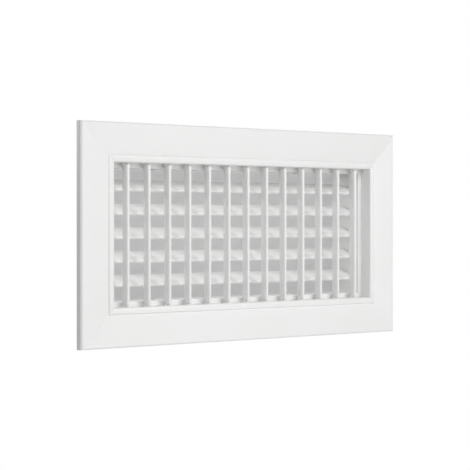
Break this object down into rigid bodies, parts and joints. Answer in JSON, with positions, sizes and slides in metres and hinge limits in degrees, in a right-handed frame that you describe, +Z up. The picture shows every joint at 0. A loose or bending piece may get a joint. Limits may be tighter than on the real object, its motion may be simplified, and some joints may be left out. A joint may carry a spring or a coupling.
{
  "type": "louvred air grille",
  "caption": "Rectangular white double-deflection supply-air grille: mitred flange, upright front blades and level rear blades, each on its own pivots, with hidden spring clips.",
  "frame": {"origin": "centre of the opening, in the plane of the flange's back edge, where the grille meets the wall", "axes": "+X along the grille's length, to the right as seen from the room; +Y into the duct; +Z up"},
  "size_m": [0.305, 0.0379, 0.155],
  "materials": {
    "white_powder_coat": "smooth white powder coat, satin",
    "white_powder_coat_blades": "smooth white powder coat, satin",
    "nylon": "natural nylon",
    "pin_steel": "bright zinc plated",
    "foam_tape": "closed-cell foam",
    "spring_steel": "stainless strip",
    "key_zinc": "mill finish",
    "rivet_aluminium": "bright aluminium"
  },
  "bodies": {
    "frame": {"border_bottom": "white_powder_coat", "border_left": "white_powder_coat", "border_right": "white_powder_coat", "border_top": "white_powder_coat", "clip_rivets": "rivet_aluminium", "core_bottom": "white_powder_coat", "core_left": "white_powder_coat", "core_right": "white_powder_coat", "core_rivets": "rivet_aluminium", "core_top": "white_powder_coat", "corner_keys": "key_zinc", "front_bushes_bottom": "nylon", "front_bushes_top": "nylon", "gasket_bottom": "foam_tape", "gasket_left": "foam_tape", "gasket_right": "foam_tape", "gasket_top": "foam_tape", "rear_bushes_left": "nylon", "rear_bushes_right": "nylon", "spring_clip_bottom_left": "spring_steel", "spring_clip_bottom_right": "spring_steel", "spring_clip_top_left": "spring_steel", "spring_clip_top_right": "spring_steel"},
    "front_vane_01": {"front_blade_01": "white_powder_coat_blades", "front_pivots_01": "pin_steel"},
    "front_vane_02": {"front_blade_02": "white_powder_coat_blades", "front_pivots_02": "pin_steel"},
    "front_vane_03": {"front_blade_03": "white_powder_coat_blades", "front_pivots_03": "pin_steel"},
    "front_vane_04": {"front_blade_04": "white_powder_coat_blades", "front_pivots_04": "pin_steel"},
    "front_vane_05": {"front_blade_05": "white_powder_coat_blades", "front_pivots_05": "pin_steel"},
    "front_vane_06": {"front_blade_06": "white_powder_coat_blades", "front_pivots_06": "pin_steel"},
    "front_vane_07": {"front_blade_07": "white_powder_coat_blades", "front_pivots_07": "pin_steel"},
    "front_vane_08": {"front_blade_08": "white_powder_coat_blades", "front_pivots_08": "pin_steel"},
    "front_vane_09": {"front_blade_09": "white_powder_coat_blades", "front_pivots_09": "pin_steel"},
    "front_vane_10": {"front_blade_10": "white_powder_coat_blades", "front_pivots_10": "pin_steel"},
    "front_vane_11": {"front_blade_11": "white_powder_coat_blades", "front_pivots_11": "pin_steel"},
    "front_vane_12": {"front_blade_12": "white_powder_coat_blades", "front_pivots_12": "pin_steel"},
    "front_vane_13": {"front_blade_13": "white_powder_coat_blades", "front_pivots_13": "pin_steel"},
    "rear_vane_1": {"rear_blade_1": "white_powder_coat_blades", "rear_pivots_1": "pin_steel"},
    "rear_vane_2": {"rear_blade_2": "white_powder_coat_blades", "rear_pivots_2": "pin_steel"},
    "rear_vane_3": {"rear_blade_3": "white_powder_coat_blades", "rear_pivots_3": "pin_steel"},
    "rear_vane_4": {"rear_blade_4": "white_powder_coat_blades", "rear_pivots_4": "pin_steel"},
    "rear_vane_5": {"rear_blade_5": "white_powder_coat_blades", "rear_pivots_5": "pin_steel"}
  },
  "joints": [
    {"name": "front_turn_01", "type": "hinge", "parent": "frame", "child": "front_vane_01", "pos_m": [-0.111, -0.0011, 0], "axis": [0, 0, 1], "range_deg": [-40, 50]},
    {"name": "front_turn_02", "type": "hinge", "parent": "frame", "child": "front_vane_02", "pos_m": [-0.0925, -0.0011, 0], "axis": [0, 0, 1], "range_deg": [-40, 50]},
    {"name": "front_turn_03", "type": "hinge", "parent": "frame", "child": "front_vane_03", "pos_m": [-0.074, -0.0011, 0], "axis": [0, 0, 1], "range_deg": [-40, 50]},
    {"name": "front_turn_04", "type": "hinge", "parent": "frame", "child": "front_vane_04", "pos_m": [-0.0555, -0.0011, 0], "axis": [0, 0, 1], "range_deg": [-40, 50]},
    {"name": "front_turn_05", "type": "hinge", "parent": "frame", "child": "front_vane_05", "pos_m": [-0.037, -0.0011, 0], "axis": [0, 0, 1], "range_deg": [-40, 50]},
    {"name": "front_turn_06", "type": "hinge", "parent": "frame", "child": "front_vane_06", "pos_m": [-0.0185, -0.0011, 0], "axis": [0, 0, 1], "range_deg": [-40, 50]},
    {"name": "front_turn_07", "type": "hinge", "parent": "frame", "child": "front_vane_07", "pos_m": [0, -0.0011, 0], "axis": [0, 0, 1], "range_deg": [-40, 50]},
    {"name": "front_turn_08", "type": "hinge", "parent": "frame", "child": "front_vane_08", "pos_m": [0.0185, -0.0011, 0], "axis": [0, 0, 1], "range_deg": [-40, 50]},
    {"name": "front_turn_09", "type": "hinge", "parent": "frame", "child": "front_vane_09", "pos_m": [0.037, -0.0011, 0], "axis": [0, 0, 1], "range_deg": [-40, 50]},
    {"name": "front_turn_10", "type": "hinge", "parent": "frame", "child": "front_vane_10", "pos_m": [0.0555, -0.0011, 0], "axis": [0, 0, 1], "range_deg": [-40, 50]},
    {"name": "front_turn_11", "type": "hinge", "parent": "frame", "child": "front_vane_11", "pos_m": [0.074, -0.0011, 0], "axis": [0, 0, 1], "range_deg": [-40, 50]},
    {"name": "front_turn_12", "type": "hinge", "parent": "frame", "child": "front_vane_12", "pos_m": [0.0925, -0.0011, 0], "axis": [0, 0, 1], "range_deg": [-40, 50]},
    {"name": "front_turn_13", "type": "hinge", "parent": "frame", "child": "front_vane_13", "pos_m": [0.111, -0.0011, 0], "axis": [0, 0, 1], "range_deg": [-40, 50]},
    {"name": "rear_tilt_1", "type": "hinge", "parent": "frame", "child": "rear_vane_1", "pos_m": [0, 0.013, -0.03333], "axis": [1, 0, 0], "range_deg": [-75, 15]},
    {"name": "rear_tilt_2", "type": "hinge", "parent": "frame", "child": "rear_vane_2", "pos_m": [0, 0.013, -0.01667], "axis": [1, 0, 0], "range_deg": [-75, 15]},
    {"name": "rear_tilt_3", "type": "hinge", "parent": "frame", "child": "rear_vane_3", "pos_m": [0, 0.013, 0], "axis": [1, 0, 0], "range_deg": [-75, 15]},
    {"name": "rear_tilt_4", "type": "hinge", "parent": "frame", "child": "rear_vane_4", "pos_m": [0, 0.013, 0.01667], "axis": [1, 0, 0], "range_deg": [-75, 15]},
    {"name": "rear_tilt_5", "type": "hinge", "parent": "frame", "child": "rear_vane_5", "pos_m": [0, 0.013, 0.03333], "axis": [1, 0, 0], "range_deg": [-75, 15]}
  ]
}
